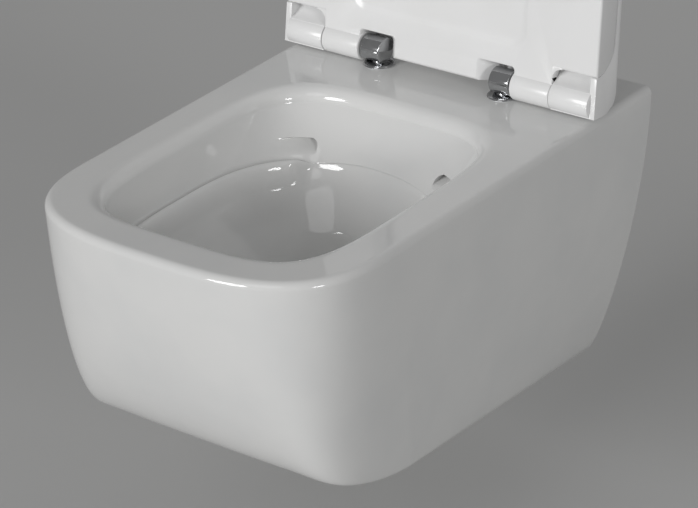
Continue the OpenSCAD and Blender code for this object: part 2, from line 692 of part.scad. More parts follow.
pan();
pan_fixing_wall();
pan_outlet_end();
fixing_sleeves();
inlet_seal();
hinge_washers();
hinge_disc(-1);  // hinge_disc_left
hinge_disc(1);  // hinge_disc_right
hinge_knuckle(-1);  // hinge_knuckle_left
hinge_knuckle(1);  // hinge_knuckle_right
hinge_studs();
hinge_pin(-1);  // hinge_pin_left
hinge_pin(1);  // hinge_pin_right
hinge_plugs();
hinge_nuts();
seat();
seat_damper(-1);  // seat_damper_left
seat_damper(1);  // seat_damper_right
seat_buffer(-1, front_buffer_y);  // seat_buffer_front_left
seat_buffer(1, front_buffer_y);  // seat_buffer_front_right
seat_buffer(-1, rear_buffer_y);  // seat_buffer_rear_left
seat_buffer(1, rear_buffer_y);  // seat_buffer_rear_right
lid();
lid_bush(-1);  // lid_bush_left
lid_bush(1);  // lid_bush_right
lid_buffer(-1);  // lid_buffer_left
lid_buffer(1);  // lid_buffer_right
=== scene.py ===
import bpy, bmesh, math
import numpy as np
from mathutils import Matrix, Vector
from mathutils.bvhtree import BVHTree


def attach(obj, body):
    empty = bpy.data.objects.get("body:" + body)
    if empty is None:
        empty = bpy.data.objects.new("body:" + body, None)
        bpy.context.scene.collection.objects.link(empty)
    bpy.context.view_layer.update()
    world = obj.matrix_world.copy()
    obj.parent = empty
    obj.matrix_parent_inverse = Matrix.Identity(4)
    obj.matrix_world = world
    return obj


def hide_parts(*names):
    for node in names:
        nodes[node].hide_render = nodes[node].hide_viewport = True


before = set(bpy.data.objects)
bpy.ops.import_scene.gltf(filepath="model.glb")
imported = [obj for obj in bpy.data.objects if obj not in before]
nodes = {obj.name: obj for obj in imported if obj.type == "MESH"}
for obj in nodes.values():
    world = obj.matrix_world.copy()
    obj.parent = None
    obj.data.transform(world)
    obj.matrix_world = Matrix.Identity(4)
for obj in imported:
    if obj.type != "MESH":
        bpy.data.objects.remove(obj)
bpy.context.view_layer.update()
mm = 0.001                                    # the frame is in metres, and the sizes in mm
print("frame loaded:", len(nodes), "solids")

# Shader tools
class Wire:                                   # a socket that can be used in sums
    def __init__(self, finish, socket):
        self.finish, self.socket = finish, socket

    def maths(self, operation, *values):
        return self.finish.add("ShaderNodeMath", {"operation": operation},
                               dict(enumerate(values)))

    def __add__(self, other): return self.maths("ADD", self, other)
    def __radd__(self, other): return self.maths("ADD", other, self)
    def __sub__(self, other): return self.maths("SUBTRACT", self, other)
    def __mul__(self, other): return self.maths("MULTIPLY", self, other)
    def __rmul__(self, other): return self.maths("MULTIPLY", other, self)
    def __pow__(self, other): return self.maths("POWER", self, other)
    def clamped(self): return self.maths("MINIMUM", self.maths("MAXIMUM", self, 0.0), 1.0)


class Finish:                                 # one material, made of nodes
    def __init__(self, name, **fixed):
        self.material = bpy.data.materials.new(name)
        self.material.use_nodes = True
        self.tree = self.material.node_tree
        self.shader = self.tree.nodes["Principled BSDF"]
        for key, value in fixed.items():
            self.shader.inputs[key.replace("_", " ")].default_value = value

    def add(self, kind, settings=None, sockets=None, output=0):
        node = self.tree.nodes.new(kind)
        for key, value in (settings or {}).items():
            setattr(node, key, value)
        for key, value in (sockets or {}).items():
            if isinstance(value, Wire):
                self.tree.links.new(value.socket, node.inputs[key])
            else:
                node.inputs[key].default_value = value
        return Wire(self, node.outputs[output])

    def noise(self, scale, detail=2.0, roughness=0.5):
        place = self.add("ShaderNodeTexCoord", output="Object")
        return self.add("ShaderNodeTexNoise", None,
                        {"Vector": place, "Scale": scale, "Detail": detail,
                         "Roughness": roughness}, "Fac")

    def patches(self, start, gain, *noise):   # noise above a level, made steeper
        return ((self.noise(*noise) - start) * gain).clamped()

    def blendColours(self, mask, a, b):
        return self.add("ShaderNodeMix", {"data_type": "RGBA"},
                        {"Factor": mask, 6: (*a, 1), 7: (*b, 1)}, 2)

    def feed(self, **wires):
        for key, wire in wires.items():
            self.tree.links.new(wire.socket, self.shader.inputs[key.replace("_", " ")])
        return self.material

    def bump(self, height, distance):
        return self.add("ShaderNodeBump", None, {"Height": height, "Distance": distance})


# Finishes
glazeLook = {"white": (0.72, 0.72, 0.712), "pooled": (0.685, 0.688, 0.684),
             "roughness": 0.035, "marks": 0.03, "wave": 0.00006, "ripple": 0.18}
plasticLook = {"white": (0.80, 0.80, 0.80), "warm": (0.78, 0.78, 0.775),
               "roughness": 0.2, "marks": 0.06, "grain": 0.000012, "ripple": 3.0}
chromeLook = {"steel": (0.5, 0.504, 0.512), "dull": (0.41, 0.414, 0.42),
              "roughness": 0.07, "smudge": 0.12, "wave": 0.000006}
rubberLook = {"grey": (0.62, 0.63, 0.63), "worn": (0.53, 0.54, 0.54),
              "roughness": 0.5, "marks": 0.15, "grain": 0.00002}


def glazeFinish(look):                        # thick glaze, a little wavy, pooled in places
    made = Finish("glazedCeramic", IOR=1.52)
    pool = made.patches(0.42, 4.0, 9, 3)
    wave = made.noise(26, 2) + made.noise(85, 1) * look["ripple"]
    rough = look["roughness"] + look["marks"] * made.noise(40, 4, 0.6) ** 2.0
    return made.feed(Base_Color=made.blendColours(pool, look["white"], look["pooled"]),
                     Roughness=rough, Normal=made.bump(wave, look["wave"]))


def plasticFinish(look):                      # moulded seat plastic with a fine grain
    made = Finish("mouldedPlastic", IOR=1.48)
    tone = made.patches(0.4, 3.0, 14, 3)
    grain = made.noise(900, 2) + made.noise(34, 2) * look["ripple"]
    rough = look["roughness"] + look["marks"] * made.noise(55, 4)
    return made.feed(Base_Color=made.blendColours(tone, look["white"], look["warm"]),
                     Roughness=rough, Normal=made.bump(grain, look["grain"]))


def chromeFinish(look):                       # plated metal with faint smudges
    made = Finish("chromePlate", Metallic=1.0)
    smudge = made.patches(0.45, 4.0, 70, 4, 0.6)
    rough = look["roughness"] + look["smudge"] * smudge
    return made.feed(Base_Color=made.blendColours(smudge, look["steel"], look["dull"]),
                     Roughness=rough, Normal=made.bump(made.noise(300, 2), look["wave"]))


def rubberFinish(look):                       # soft grey rubber
    made = Finish("softRubber", IOR=1.45)
    wear = made.patches(0.4, 3.0, 60, 4)
    rough = look["roughness"] + look["marks"] * made.noise(120, 3)
    return made.feed(Base_Color=made.blendColours(wear, look["grey"], look["worn"]),
                     Roughness=rough, Normal=made.bump(made.noise(700, 3), look["grain"]))


glaze, plastic = glazeFinish(glazeLook), plasticFinish(plasticLook)
chrome, rubber = chromeFinish(chromeLook), rubberFinish(rubberLook)
print("finishes made")

# Pan, in millimetres. M, Power: how square a curve is. Share: how much of it is a slope
pan = {"width": 383, "frontWidth": 372, "depth": 564, "corner": 142, "cornerPower": 3,
       "height": 330, "frontHeight": 232, "rimZ": 80, "rimRound": 8,
       "footWidth": 182, "footFrontWidth": 320, "footDepth": 487, "footCorner": 104,
       "footPower": 4.4, "sideShare": 0.71, "sidePower": 1.6, "sideM": 7, "cornerM": 3.7,
       "frontM": 1.8, "sideSteps": 60, "cornerSteps": 90, "sideRings": 64, "roundRings": 15,
       "crowding": 2.1, "band": 1.5, "backSteps": 30, "curveSteps": 160}
bowl = {"width": 272, "front": 53, "back": 175, "power": 4.3, "lip": 14, "wallDepth": 56,
        "lean": 40, "groove": 3, "shelf": 12, "sumpDepth": 250, "sumpWidth": 80,
        "sumpY": -305, "trapRadius": 26, "riserBack": 77, "points": 190,
        "rings": [10, 24, 24, 8, 8, 6, 10, 8, 8, 8, 7, 7, 5, 6]}
trap = {"radius": 25.9, "bend": 45, "bendY": -262, "rings": 20, "halvings": 30, "touch": 0.001,
        "mouth": ((-40, -285, -175), (40, 0, -105))}
jet = {"inner": 73, "outer": 113, "top": 42, "round": 11, "soft": 0.8, "depth": 24, "ramp": 1.25,
       "low": 54, "fade": 10, "frontY": -262, "crowdAt": 0.68, "crowdWidth": 0.09}
panel = {"half": 64, "fade": 22, "foot": 54, "arch": 7.0, "lean": 0.36, "frontY": -300,
         "ahead": 0.5, "power": 3.4, "lowPower": 3.2,
         "steps": [[4, 0.5, 1.6], [5, 2.2, 1.9], [6, 5, 1.0]]}     # level, depth, step back
cornerY = -(pan["depth"] - pan["corner"])
footCornerY = -(pan["footDepth"] - pan["footCorner"])
trapZ = pan["rimZ"] - bowl["sumpDepth"] + bowl["trapRadius"]


def spread(count):                            # angles that crowd at both ends
    return np.radians(45 * (1 - np.cos(np.radians(180 * np.arange(count + 1) / count))))


def halfOutline(backY, sideSteps, cornerSteps):   # x, y, normal x, y and the foot's x, y
    along = backY + (cornerY - backY) * np.arange(sideSteps) / sideSteps
    share = along / cornerY
    half = (pan["width"] + (pan["frontWidth"] - pan["width"]) * share) / 2
    side = np.stack([half, along, np.ones_like(half), np.zeros_like(half),
                     (pan["footWidth"] + (pan["footFrontWidth"] - pan["footWidth"]) * share) / 2,
                     footCornerY * share], 1)
    a, n, m = spread(cornerSteps), pan["cornerPower"], pan["footPower"]
    c, s = np.cos(a).clip(0), np.sin(a)
    gx, gy = c ** (2 - 2 / n) * 2 / pan["frontWidth"], s ** (2 - 2 / n) / pan["corner"]
    size = np.hypot(gx, gy)
    turn = np.stack([pan["frontWidth"] / 2 * c ** (2 / n),
                     cornerY - pan["corner"] * s ** (2 / n), gx / size, -gy / size,
                     pan["footFrontWidth"] / 2 * c ** (2 / m),
                     footCornerY - pan["footCorner"] * s ** (2 / m)], 1)
    return np.concatenate([side, turn])


def outline(backY, sideSteps=None, cornerSteps=None):
    right = halfOutline(backY, sideSteps or pan["sideSteps"], cornerSteps or pan["cornerSteps"])
    left = right[:-1] * [-1, 1, -1, 1, -1, 1]
    return np.concatenate([left, right[::-1]])


def smoothThrough(knots, values, at):         # a curve through the knots with no overshoot
    knots, values = np.asarray(knots, float), np.asarray(values, float)
    step = np.diff(knots)[:, None]
    slope = np.diff(values, axis=0) / step
    bend = np.zeros_like(values)
    same = slope[1:] * slope[:-1] > 0
    bend[1:-1] = np.where(same, 2 * slope[1:] * slope[:-1] /
                          np.where(same, slope[1:] + slope[:-1], 1), 0)
    bend[0], bend[-1] = slope[0], slope[-1]
    k = np.clip(np.searchsorted(knots, at, "right") - 1, 0, len(knots) - 2)
    u = ((at - knots[k]) / step[k, 0])[:, None]
    h = step[k]
    return ((1 + 2 * u) * (1 - u) ** 2 * values[k] + u * (1 - u) ** 2 * h * bend[k] +
            u * u * (3 - 2 * u) * values[k + 1] + u * u * (u - 1) * h * bend[k + 1])


def shellShift(p, u):                         # how far the side has drawn in to the foot
    w = p[:, 3] ** 2
    share = pan["sideShare"] * (1 - w)
    m = (pan["sideM"] + (pan["frontM"] - pan["sideM"]) * w +
         4 * w * (1 - w) * (pan["cornerM"] - (pan["sideM"] + pan["frontM"]) / 2))
    u = np.clip(u, 0, 1)
    return share * u ** pan["sidePower"] + (1 - share) * (1 - (1 - u ** m) ** (1 / m))


def shellPoints():
    p = outline(0)
    foot = pan["height"] + (pan["frontHeight"] - pan["height"]) * -p[:, 1] / pan["depth"]
    rings = []
    for b in np.radians(np.linspace(0, 90, pan["roundRings"])):
        off, down = pan["rimRound"] * (1 - math.sin(b)), pan["rimRound"] * (1 - math.cos(b))
        rings.append(np.stack([p[:, 0] - p[:, 2] * off, p[:, 1] - p[:, 3] * off,
                               np.full(len(p), pan["rimZ"] - down)], 1))
    for k in range(1, pan["sideRings"] + 1):
        u = 1 - (1 - k / pan["sideRings"]) ** pan["crowding"]
        depth = pan["rimRound"] + (foot - pan["rimRound"]) * u
        f = shellShift(p, depth / foot)
        rings.append(np.stack([p[:, 0] + (p[:, 4] - p[:, 0]) * f,
                               p[:, 1] + (p[:, 5] - p[:, 1]) * f, pan["rimZ"] - depth], 1))
    return np.array(rings)


def ovalPoints(half, yFront, yBack, n, nb, fractions):    # n, nb: squareness front and back
    mid, reach = (yFront + yBack) / 2, (yBack - yFront) / 2
    a = spread(pan["curveSteps"])
    parts = []
    for power, sign in ((nb, 1), (n, -1)):    # from the right side to the middle of the end
        x, y = half * np.cos(a).clip(0) ** (2 / power), reach * np.sin(a) ** (2 / power)
        far = np.concatenate([[0], np.cumsum(np.hypot(np.diff(x), np.diff(y)))])
        at = fractions * far[-1]
        parts.append(np.stack([np.interp(at, far, x), mid + sign * np.interp(at, far, y)], 1))
    back, front = parts
    flip = [-1, 1]
    return np.concatenate([back, (back * flip)[-2::-1], (front * flip)[1:], front[-2:0:-1]])


# A level is [depth, inset at the side, front and back, squareness at the front and back]
def bowlLevels(behind):                       # behind: the profile under the back panel
    w, lip = bowl["wallDepth"], bowl["lip"]
    edge = [3 + bowl["shelf"], 4 + bowl["shelf"], bowl["lean"] + 1]
    sump = [bowl["width"] / 2 - bowl["sumpWidth"] / 2,
            pan["depth"] - bowl["front"] + bowl["sumpY"] - bowl["trapRadius"] - 16,
            bowl["riserBack"] + 4]
    wall = lambda v, n: [lip + (w - lip) * v, 3 * v, 4 * v, bowl["lean"] * v, n,
                         bowl["power"] - 1.2 * v]
    funnel = lambda t, s, f, b, n, nb: [t] + [e + (g - e) * k for e, g, k in
                                              zip(edge, sump, (s, f, b))] + [n, nb]
    p = bowl["power"]
    levels = [
        wall(0, p), wall(0.4, p), wall(0.7, p - 0.1), wall(1, p - 0.2),
        [w + bowl["groove"] - 1, 5.5, 6.5, bowl["lean"], p - 0.3, 2.9],
        [w - 1, edge[0] - 3, edge[1] - 3, bowl["lean"] + 1, p - 0.5, 2.6],
        funnel(w + 2, 0, 0, 0.02, 3.8, 2.45), funnel(82, 0.08, 0.05, 0.2, 3.4, 2.4),
        funnel(102, 0.24, 0.22, 0.5, 2.9, 2.35), funnel(122, 0.48, 0.46, 0.8, 2.5, 2.3),
        funnel(148, 0.75, 0.73, 0.92, 2.2, 2.2), funnel(176, 0.93, 0.91, 0.96, 2.1, 2.1),
        funnel(200, 1, 1, 1, 2, 2),
        [bowl["sumpDepth"] - 12, sump[0] + 5, sump[1] + 5, sump[2] + 4, 2, 2],
        [bowl["sumpDepth"], sump[0] + 18, sump[1] + 18, sump[2] + 16, 2, 2]]
    if behind:
        foot, front = panel["foot"], bowl["lean"] - panel["ahead"]
        levels[3][0], levels[3][3], levels[3][5] = foot, front, panel["power"]
        for row, down, into in panel["steps"]:
            levels[row][0], levels[row][3] = foot + down, front - into
            levels[row][5] = panel["lowPower"]
    return np.array(levels)


def easeTo(u):                                # 0 to 1 with a soft start and end
    u = np.clip(u, 0, 1)
    return u * u * (3 - 2 * u)


def jetDepth(x, z):                           # how far a flush outlet cuts into the wall
    x, top = np.abs(x), pan["rimZ"] - jet["top"]
    qx, qz = jet["inner"] + jet["round"] - x, z - top + jet["round"]
    edge = np.hypot(qx.clip(0), qz.clip(0)) + np.minimum(np.maximum(qx, qz), 0) - jet["round"]
    ramp = ((jet["outer"] - x) / (jet["outer"] - jet["inner"])).clip(0, 1) ** jet["ramp"]
    return jet["depth"] * ramp * easeTo(0.5 - edge / (2 * jet["soft"])) * \
        easeTo((z - pan["rimZ"] + jet["low"]) / jet["fade"])


def bowlPoints():
    even = np.linspace(0, 1, 400)             # points crowd round the flush outlets
    crowd = np.cumsum(1 + 2 * np.exp(-((even - jet["crowdAt"]) / jet["crowdWidth"]) ** 2))
    fractions = np.interp(np.linspace(crowd[0], crowd[-1], bowl["points"]), crowd, even)
    rings = []
    for a in np.radians(np.linspace(0, 90, pan["roundRings"])):
        off = -bowl["lip"] * (1 - math.sin(a))
        rings.append([bowl["lip"] * (1 - math.cos(a)), off, off, off,
                      bowl["power"], bowl["power"]])
    side, behind = bowlLevels(False), bowlLevels(True)
    chord = np.concatenate([[0], np.cumsum(np.abs(np.diff(side[:, :4], axis=0)).sum(1) + 1)])
    at = np.concatenate([np.linspace(chord[k], chord[k + 1], n, endpoint=False)
                         for k, n in enumerate(bowl["rings"])])
    at = np.append(at, chord[-1])[1:]
    beside = rings + list(smoothThrough(chord, side, at))
    under = rings + list(smoothThrough(chord, behind, at))
    arch = np.concatenate([np.zeros(len(rings)),
                           easeTo((at - chord[2]) / (chord[3] - chord[2])) *
                           easeTo((chord[8] - at) / (chord[8] - chord[5]))])
    points = []
    for a, b, bow in zip(beside, under, arch):
        ring = []
        for t, sideIn, frontIn, backIn, n, nb in (a, b):
            xy = ovalPoints(bowl["width"] / 2 - sideIn,
                            -(pan["depth"] - bowl["front"]) + frontIn,
                            -bowl["back"] - backIn, n, nb, fractions)
            ring.append(np.column_stack([xy, np.full(len(xy), pan["rimZ"] - t)]))
        x = np.abs(ring[0][:, 0])
        share = easeTo((panel["half"] + panel["fade"] - x) / panel["fade"]) * \
            (ring[0][:, 1] > panel["frontY"])
        drop = panel["arch"] * bow * np.minimum(x / panel["half"], 1.1) ** 2
        ring[1][:, 2] -= drop
        ring[1][:, 1] -= drop * panel["lean"]
        mixed = ring[0] + (ring[1] - ring[0]) * share[:, None]
        if a[0] > bowl["lip"] + 8:
            mixed[:, 1] += jetDepth(mixed[:, 0], mixed[:, 2]) * (mixed[:, 1] > jet["frontY"])
        points.append(mixed)
    return np.array(points)


def trapPlace(p):                             # how far along, which angle, how far outside
    y, z = p.y - trap["bendY"], trapZ + trap["bend"] - p.z
    if y > 0:
        along, up = trap["bend"] * math.atan2(y, z), trap["bend"] - math.hypot(y, z)
    else:
        along, up = y, trap["bend"] - z
    return along, math.atan2(up, p.x), math.hypot(up, p.x) - trap["radius"]


def trapPoint(along, angle):
    x, away = trap["radius"] * math.cos(angle), trap["bend"] - trap["radius"] * math.sin(angle)
    turn = max(along, 0) / trap["bend"]
    return Vector((x, trap["bendY"] + min(along, 0) + away * math.sin(turn),
                   trapZ + trap["bend"] - away * math.cos(turn)))


def inBox(p, box):
    return all(low < at < high for low, at, high in zip(box[0], p, box[1]))


def crossing(a, b):                           # the share of the way at which the trap is met
    inside = trapPlace(a)[2] < 0
    low, high = 0.0, 1.0
    for _ in range(trap["halvings"]):
        mid = (low + high) / 2
        low, high = (mid, high) if (trapPlace(a.lerp(b, mid))[2] < 0) == inside else (low, mid)
    return low


def ringFaces(made, top, low, closed, inside=False):
    for i in range(len(top) - (0 if closed else 1)):
        j = (i + 1) % len(top)
        made.faces.new((top[i], low[i], low[j], top[j]) if inside else
                       (top[i], top[j], low[j], low[i]))


def openTrap(made):                           # cuts the trap's mouth and lofts its first bend
    fresh = []
    for e in list(made.edges):
        a, b = e.verts
        if inBox(a.co, trap["mouth"]) and inBox(b.co, trap["mouth"]) and \
                (trapPlace(a.co)[2] < 0) != (trapPlace(b.co)[2] < 0):
            fresh.append(bmesh.utils.edge_split(e, a, crossing(a.co, b.co))[1])
    marked = set(fresh)
    for face in dict.fromkeys(f for v in fresh for f in v.link_faces):
        ends = [v for v in face.verts if v in marked]
        if len(ends) == 2:
            bmesh.utils.face_split(face, *ends)
    gone = [f for f in made.faces if all(inBox(v.co, trap["mouth"]) and
                                         trapPlace(v.co)[2] < trap["touch"]
                                         for v in f.verts)]
    bmesh.ops.delete(made, geom=gone, context="FACES")
    column = sorted(fresh, key=lambda v: trapPlace(v.co)[1])
    starts = [trapPlace(v.co)[:2] for v in column]
    last = trap["bend"] * math.pi / 2
    for k in range(1, trap["rings"] + 1):
        row = [made.verts.new(trapPoint(along + (last - along) * k / trap["rings"], angle))
               for along, angle in starts]
        ringFaces(made, column, row, True)
        column = row


# a thin band inside each round of the rim, then one fill between the bands
def fillRim(made, outer, inner, shellRing, bowlRing):
    outerBand = [made.verts.new((*(p[:2] - n * pan["band"]), p[2]))
                 for p, n in zip(shellRing, outline(0)[:, 2:4])]
    ringFaces(made, outerBand, outer, False)
    out = bowlRing[:, :2] - bowlRing[:, :2].mean(0)
    out = out / np.linalg.norm(out, axis=1)[:, None] * pan["band"]
    innerBand = [made.verts.new((*(p[:2] + o), p[2])) for p, o in zip(bowlRing, out)]
    ringFaces(made, innerBand, inner, True, inside=True)
    backRow = [made.verts.new((x, 0, pan["rimZ"])) for x in
               np.linspace(shellRing[-1][0], shellRing[0][0], pan["backSteps"])[1:-1]]
    border = outerBand + [outer[-1]] + backRow + [outer[0], outerBand[0]]
    hole = innerBand + [innerBand[0]]
    edges = [made.edges.get(pair) or made.edges.new(pair)
             for chain in (border, hole) for pair in zip(chain, chain[1:])]
    bmesh.ops.triangle_fill(made, use_beauty=True, edges=edges)


def makePan():
    shell, bowlRings = shellPoints(), bowlPoints()
    made = bmesh.new()
    rows = [[made.verts.new(p) for p in ring] for ring in shell]
    inner = [[made.verts.new(p) for p in ring] for ring in bowlRings]
    for levels, closed in ((rows, False), (inner, True)):
        for top, low in zip(levels, levels[1:]):
            ringFaces(made, top, low, closed, inside=closed)
    low = rows[-1]                            # the underside, in strips across
    for i in range(len(low) // 2):
        a, b, c, d = low[i], low[i + 1], low[-2 - i], low[-1 - i]
        made.faces.new([a, b, d] if b is c else [a, b, c, d])
    made.faces.new(inner[-1])
    fillRim(made, rows[0], inner[0], shell[0], bowlRings[0])
    openTrap(made)
    bmesh.ops.recalc_face_normals(made, faces=made.faces)
    for v in made.verts:
        v.co *= mm
    skin = bpy.data.meshes.new("panSkin")
    made.to_mesh(skin)
    made.free()
    return skin


castNodes = ("pan", "pan_fixing_wall", "pan_outlet_end")
rear = {"seamY": -0.042, "seamZ": -0.026, "reach": 0.006, "cornerReach": 0.008,      # metres
        "flushWay": ((0.055, -0.262, 0.012), (0.14, -0.15, 0.052)),
        "bowl": ((-0.13, -0.5, -0.1), (0.13, -0.19, 9)),
        "sky": ((0, 0, 1), (0, -0.35, 0.94))}


def hiddenFaces(skin):                        # the back of the pan, as the frame has it
    source = bmesh.new()
    for name in castNodes:
        source.from_mesh(nodes[name].data)
    bmesh.ops.remove_doubles(source, verts=source.verts, dist=0.00001)
    fine = bmesh.new()
    fine.from_mesh(skin)
    near = BVHTree.FromBMesh(fine)
    fine.free()

    def close(point, reach):
        return near.find_nearest(point, reach)[0] is not None

    def inFlushWay(p):                        # the scene's own outlets stand there
        return inBox((abs(p.x), p.y, p.z), rear["flushWay"])

    def inBowl(p):                            # open to the sky in the skin's own bowl
        return inBox(p, rear["bowl"]) and any(
            near.ray_cast(p, Vector(way))[0] is None for way in rear["sky"])

    def onSeam(f):                            # the planes between the frame's three nodes
        return any(all(abs(v.co[axis] - at) < 0.00002 for v in f.verts)
                   for axis, at in ((1, rear["seamY"]), (2, rear["seamZ"])))

    gone = []
    for f in source.faces:
        middle = f.calc_center_median()
        if inFlushWay(middle) or onSeam(f) or inBowl(middle) or \
                any(inBowl(v.co) for v in f.verts) or close(middle, rear["reach"]) and \
                all(close(v.co, rear["cornerReach"]) for v in f.verts):
            gone.append(f)
    bmesh.ops.delete(source, geom=gone, context="FACES")
    bmesh.ops.remove_doubles(source, verts=source.verts, dist=0.00002)
    back = bpy.data.meshes.new("panBack")
    source.to_mesh(back)
    source.free()
    return back


def dress(mesh, finish, sharp):               # smooth up to an angle, in one material
    mesh.materials.clear()
    mesh.materials.append(finish)
    mesh.shade_smooth()
    mesh.set_sharp_from_angle(angle=math.radians(sharp))


def addPiece(name, mesh):
    piece = bpy.data.objects.new(name, mesh)
    bpy.context.scene.collection.objects.link(piece)
    return piece


skin = makePan()
back = hiddenFaces(skin)
print("pan:", len(skin.polygons), "faces in the skin,", len(back.polygons), "behind it")
for name, mesh, sharp in (("ceramic_pan", skin, 40), ("ceramic_back", back, 35)):
    dress(mesh, glaze, sharp)
    piece = addPiece(name, mesh)
    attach(piece, "pan")
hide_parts(*castNodes)

# Seat and lid, as solids
cover = {"over": 2.5, "seatGap": 7.6, "seatThick": 30, "seatRound": 3, "seatTopRound": 1.5,
         "lidGap": 0.8,
         "lidThick": 5.5, "lidRise": 4, "lidRound": 2.5, "openAngle": 98.5,
         "holeWidth": 226, "holeLength": 292, "holeY": 96, "holePower": 2.7,
         "recessDepth": 2, "recessWidth": 216, "recessBack": 30, "recessRound": 18,
         "bevel": 0.5, "sharp": 28}
hinge = {"gap": 155, "y": 98, "z": 17, "knuckleD": 27.4, "knuckleL": 23.5, "knuckleIn": 9,
         "barrelD": 31, "barrelL": 46.5, "barrelGap": 2.4, "socket": 8, "bushL": 24,
         "earWall": 7, "discD": 33, "discGap": 0.4, "soft": 1.6, "cleared": 2.2,
         "sides": 72}
# the gap in the seat for a knuckle, in levels of [height, from, to, reach]
notch = {"levels": [[-13, 46.5, 99, 23], [-9.4, 50.5, 96.5, 20.6], [-8, 52.5, 95.6, 19.6],
                    [0, 59.5, 94.6, 17], [9, 66, 94.4, 15.8], [32, 66, 94.4, 15.8]],
         "round": 4.5, "edge": 3.0, "fillet": 11, "filletUp": 8.2}
far = pan["depth"]
axisZ = pan["rimZ"] + hinge["z"]
seatUnder = cover["seatGap"] - hinge["z"]
seatTop = seatUnder + cover["seatThick"]
lidUnder = seatTop + cover["lidGap"]
lidFront = lidUnder + cover["lidThick"]
lidBack = lidFront + cover["lidRise"]
knuckleX = hinge["gap"] / 2 - hinge["knuckleIn"]
barrelX = max(knuckleX + hinge["knuckleL"] + hinge["barrelGap"],
              hinge["gap"] / 2 + hinge["discD"] / 2 + hinge["discGap"])
earX = barrelX + hinge["barrelL"] + cover["lidGap"]


def looseSolid(name, rings):                  # closed rings, capped at both ends
    n, last = len(rings[0]), len(rings) - 1
    faces = [(k * n + i, k * n + (i + 1) % n, (k + 1) * n + (i + 1) % n, (k + 1) * n + i)
             for k in range(last) for i in range(n)]
    faces += [tuple(range(n))[::-1], tuple(range(last * n, (last + 1) * n))]
    mesh = bpy.data.meshes.new(name)
    mesh.from_pydata([tuple(p) for p in np.concatenate(rings) * mm], [], faces)
    mesh.shade_flat()
    shape = bmesh.new()
    shape.from_mesh(mesh)
    bmesh.ops.recalc_face_normals(shape, faces=shape.faces)
    shape.to_mesh(mesh)
    shape.free()
    return addPiece(name, mesh)


def coverSolid(name, start, levels):
    p = outline(-hinge["y"] - start, 30, 64)
    rise = 1 + (p[:, 1] + hinge["y"]) / (pan["depth"] - hinge["y"])
    return looseSolid(name, [np.stack([p[:, 0] + p[:, 2] * (cover["over"] - inset),
                                       p[:, 1] + p[:, 3] * (cover["over"] - inset),
                                       axisZ + height + lift * rise], 1)
                             for height, lift, inset in levels])


def profileSolid(name, x0, x1, points):       # (ahead of the axis, above the axis), along X
    p = np.array(points, float)
    ring = lambda x: np.stack([np.full(len(p), x), -hinge["y"] - p[:, 0], axisZ + p[:, 1]], 1)
    return looseSolid(name, [ring(x0), ring(x1)])


def rodSolid(name, x0, x1, radius, soft=0.0): # soft: the radius of its end edges
    a = np.linspace(0, 2 * math.pi, hinge["sides"], endpoint=False)
    ends = [(x0 + soft * (1 - math.cos(b)), radius - soft * (1 - math.sin(b)))
            for b in np.radians([0, 22, 45, 68, 90])] if soft else [(x0, radius)]
    ends += [(x0 + x1 - x, r) for x, r in ends[::-1]]
    return looseSolid(name, [np.stack([np.full(len(a), x), -hinge["y"] - r * np.cos(a),
                                       axisZ + r * np.sin(a)], 1) for x, r in ends])


def notchSolid(name, side):
    a, r = np.radians(np.linspace(0, 90, 9)), notch["round"]
    rings = []
    for h, x0, x1, reach in notch["levels"]:
        ring = [[x0, -30.0], [x1, -30.0]]
        ring += [[x1 - r + r * math.cos(b), reach - r + r * math.sin(b)] for b in a]
        ring += [[x0 + r - r * math.sin(b), reach - r + r * math.cos(b)] for b in a]
        ring = np.array(ring)
        rings.append(np.stack([side * ring[:, 0], -hinge["y"] - ring[:, 1],
                               np.full(len(ring), axisZ + h)], 1))
    return looseSolid(name, rings)


def filletSolid(name, x0, x1, corner, r):     # fills the corner between barrel and seat edge
    sign = 1 if x1 > 0 else -1
    end, start = (x1, x0) if sign > 0 else (x0, x1)
    a = np.radians(np.linspace(0, 90, 12))
    ring = [[start, corner + 1.5], [start, corner - r]] + \
        [[end + sign * r * (1 - math.cos(b)), corner - r * (1 - math.sin(b))] for b in a] + \
        [[end + sign * r, corner + 1.5]]
    p = np.array(ring)
    level = lambda h: np.stack([p[:, 0], -hinge["y"] - p[:, 1], np.full(len(p), axisZ + h)], 1)
    return looseSolid(name, [level(seatUnder + 0.01), level(seatUnder + notch["filletUp"])])


def recessSolid(name, y, z, w, l, r, levels): # a shallow dish with sloping sides
    a = np.linspace(0, 2 * math.pi, 64, endpoint=False)
    rings = []
    for h, inset in levels:
        q = r - inset
        ring = np.stack([(w / 2 - r) * np.sign(np.cos(a)) + q * np.cos(a),
                         y + l / 2 + (l / 2 - r) * np.sign(np.sin(a)) + q * np.sin(a)], 1)
        rings.append(np.column_stack([ring, np.full(len(ring), z + h)]))
    return looseSolid(name, rings)


def carve(base, operation, *others):
    for other in others:
        step = base.modifiers.new("step", "BOOLEAN")
        step.operation, step.object, step.solver = operation, other, "EXACT"
        applyAll(base)
        bpy.data.objects.remove(other)


def applyAll(piece):
    shot = piece.evaluated_get(bpy.context.evaluated_depsgraph_get())
    mesh = bpy.data.meshes.new_from_object(shot)
    piece.modifiers.clear()
    old, piece.data = piece.data, mesh
    bpy.data.meshes.remove(old)


def bothSides(make, x0, x1, *more):
    return make("right", x0, x1, *more), make("left", -x1, -x0, *more)


def rounds(top, r, rise=0.0):                 # [height, rise, inset] round an upper edge
    return [[top - r * (1 - math.cos(b)), rise, r * (1 - math.sin(b))]
            for b in np.radians(np.linspace(0, 90, 8))]


def lowRounds(low, r):
    return [[low + r * (1 - math.cos(b)), 0, r * (1 - math.sin(b))]
            for b in np.radians(np.linspace(90, 0, 8))]


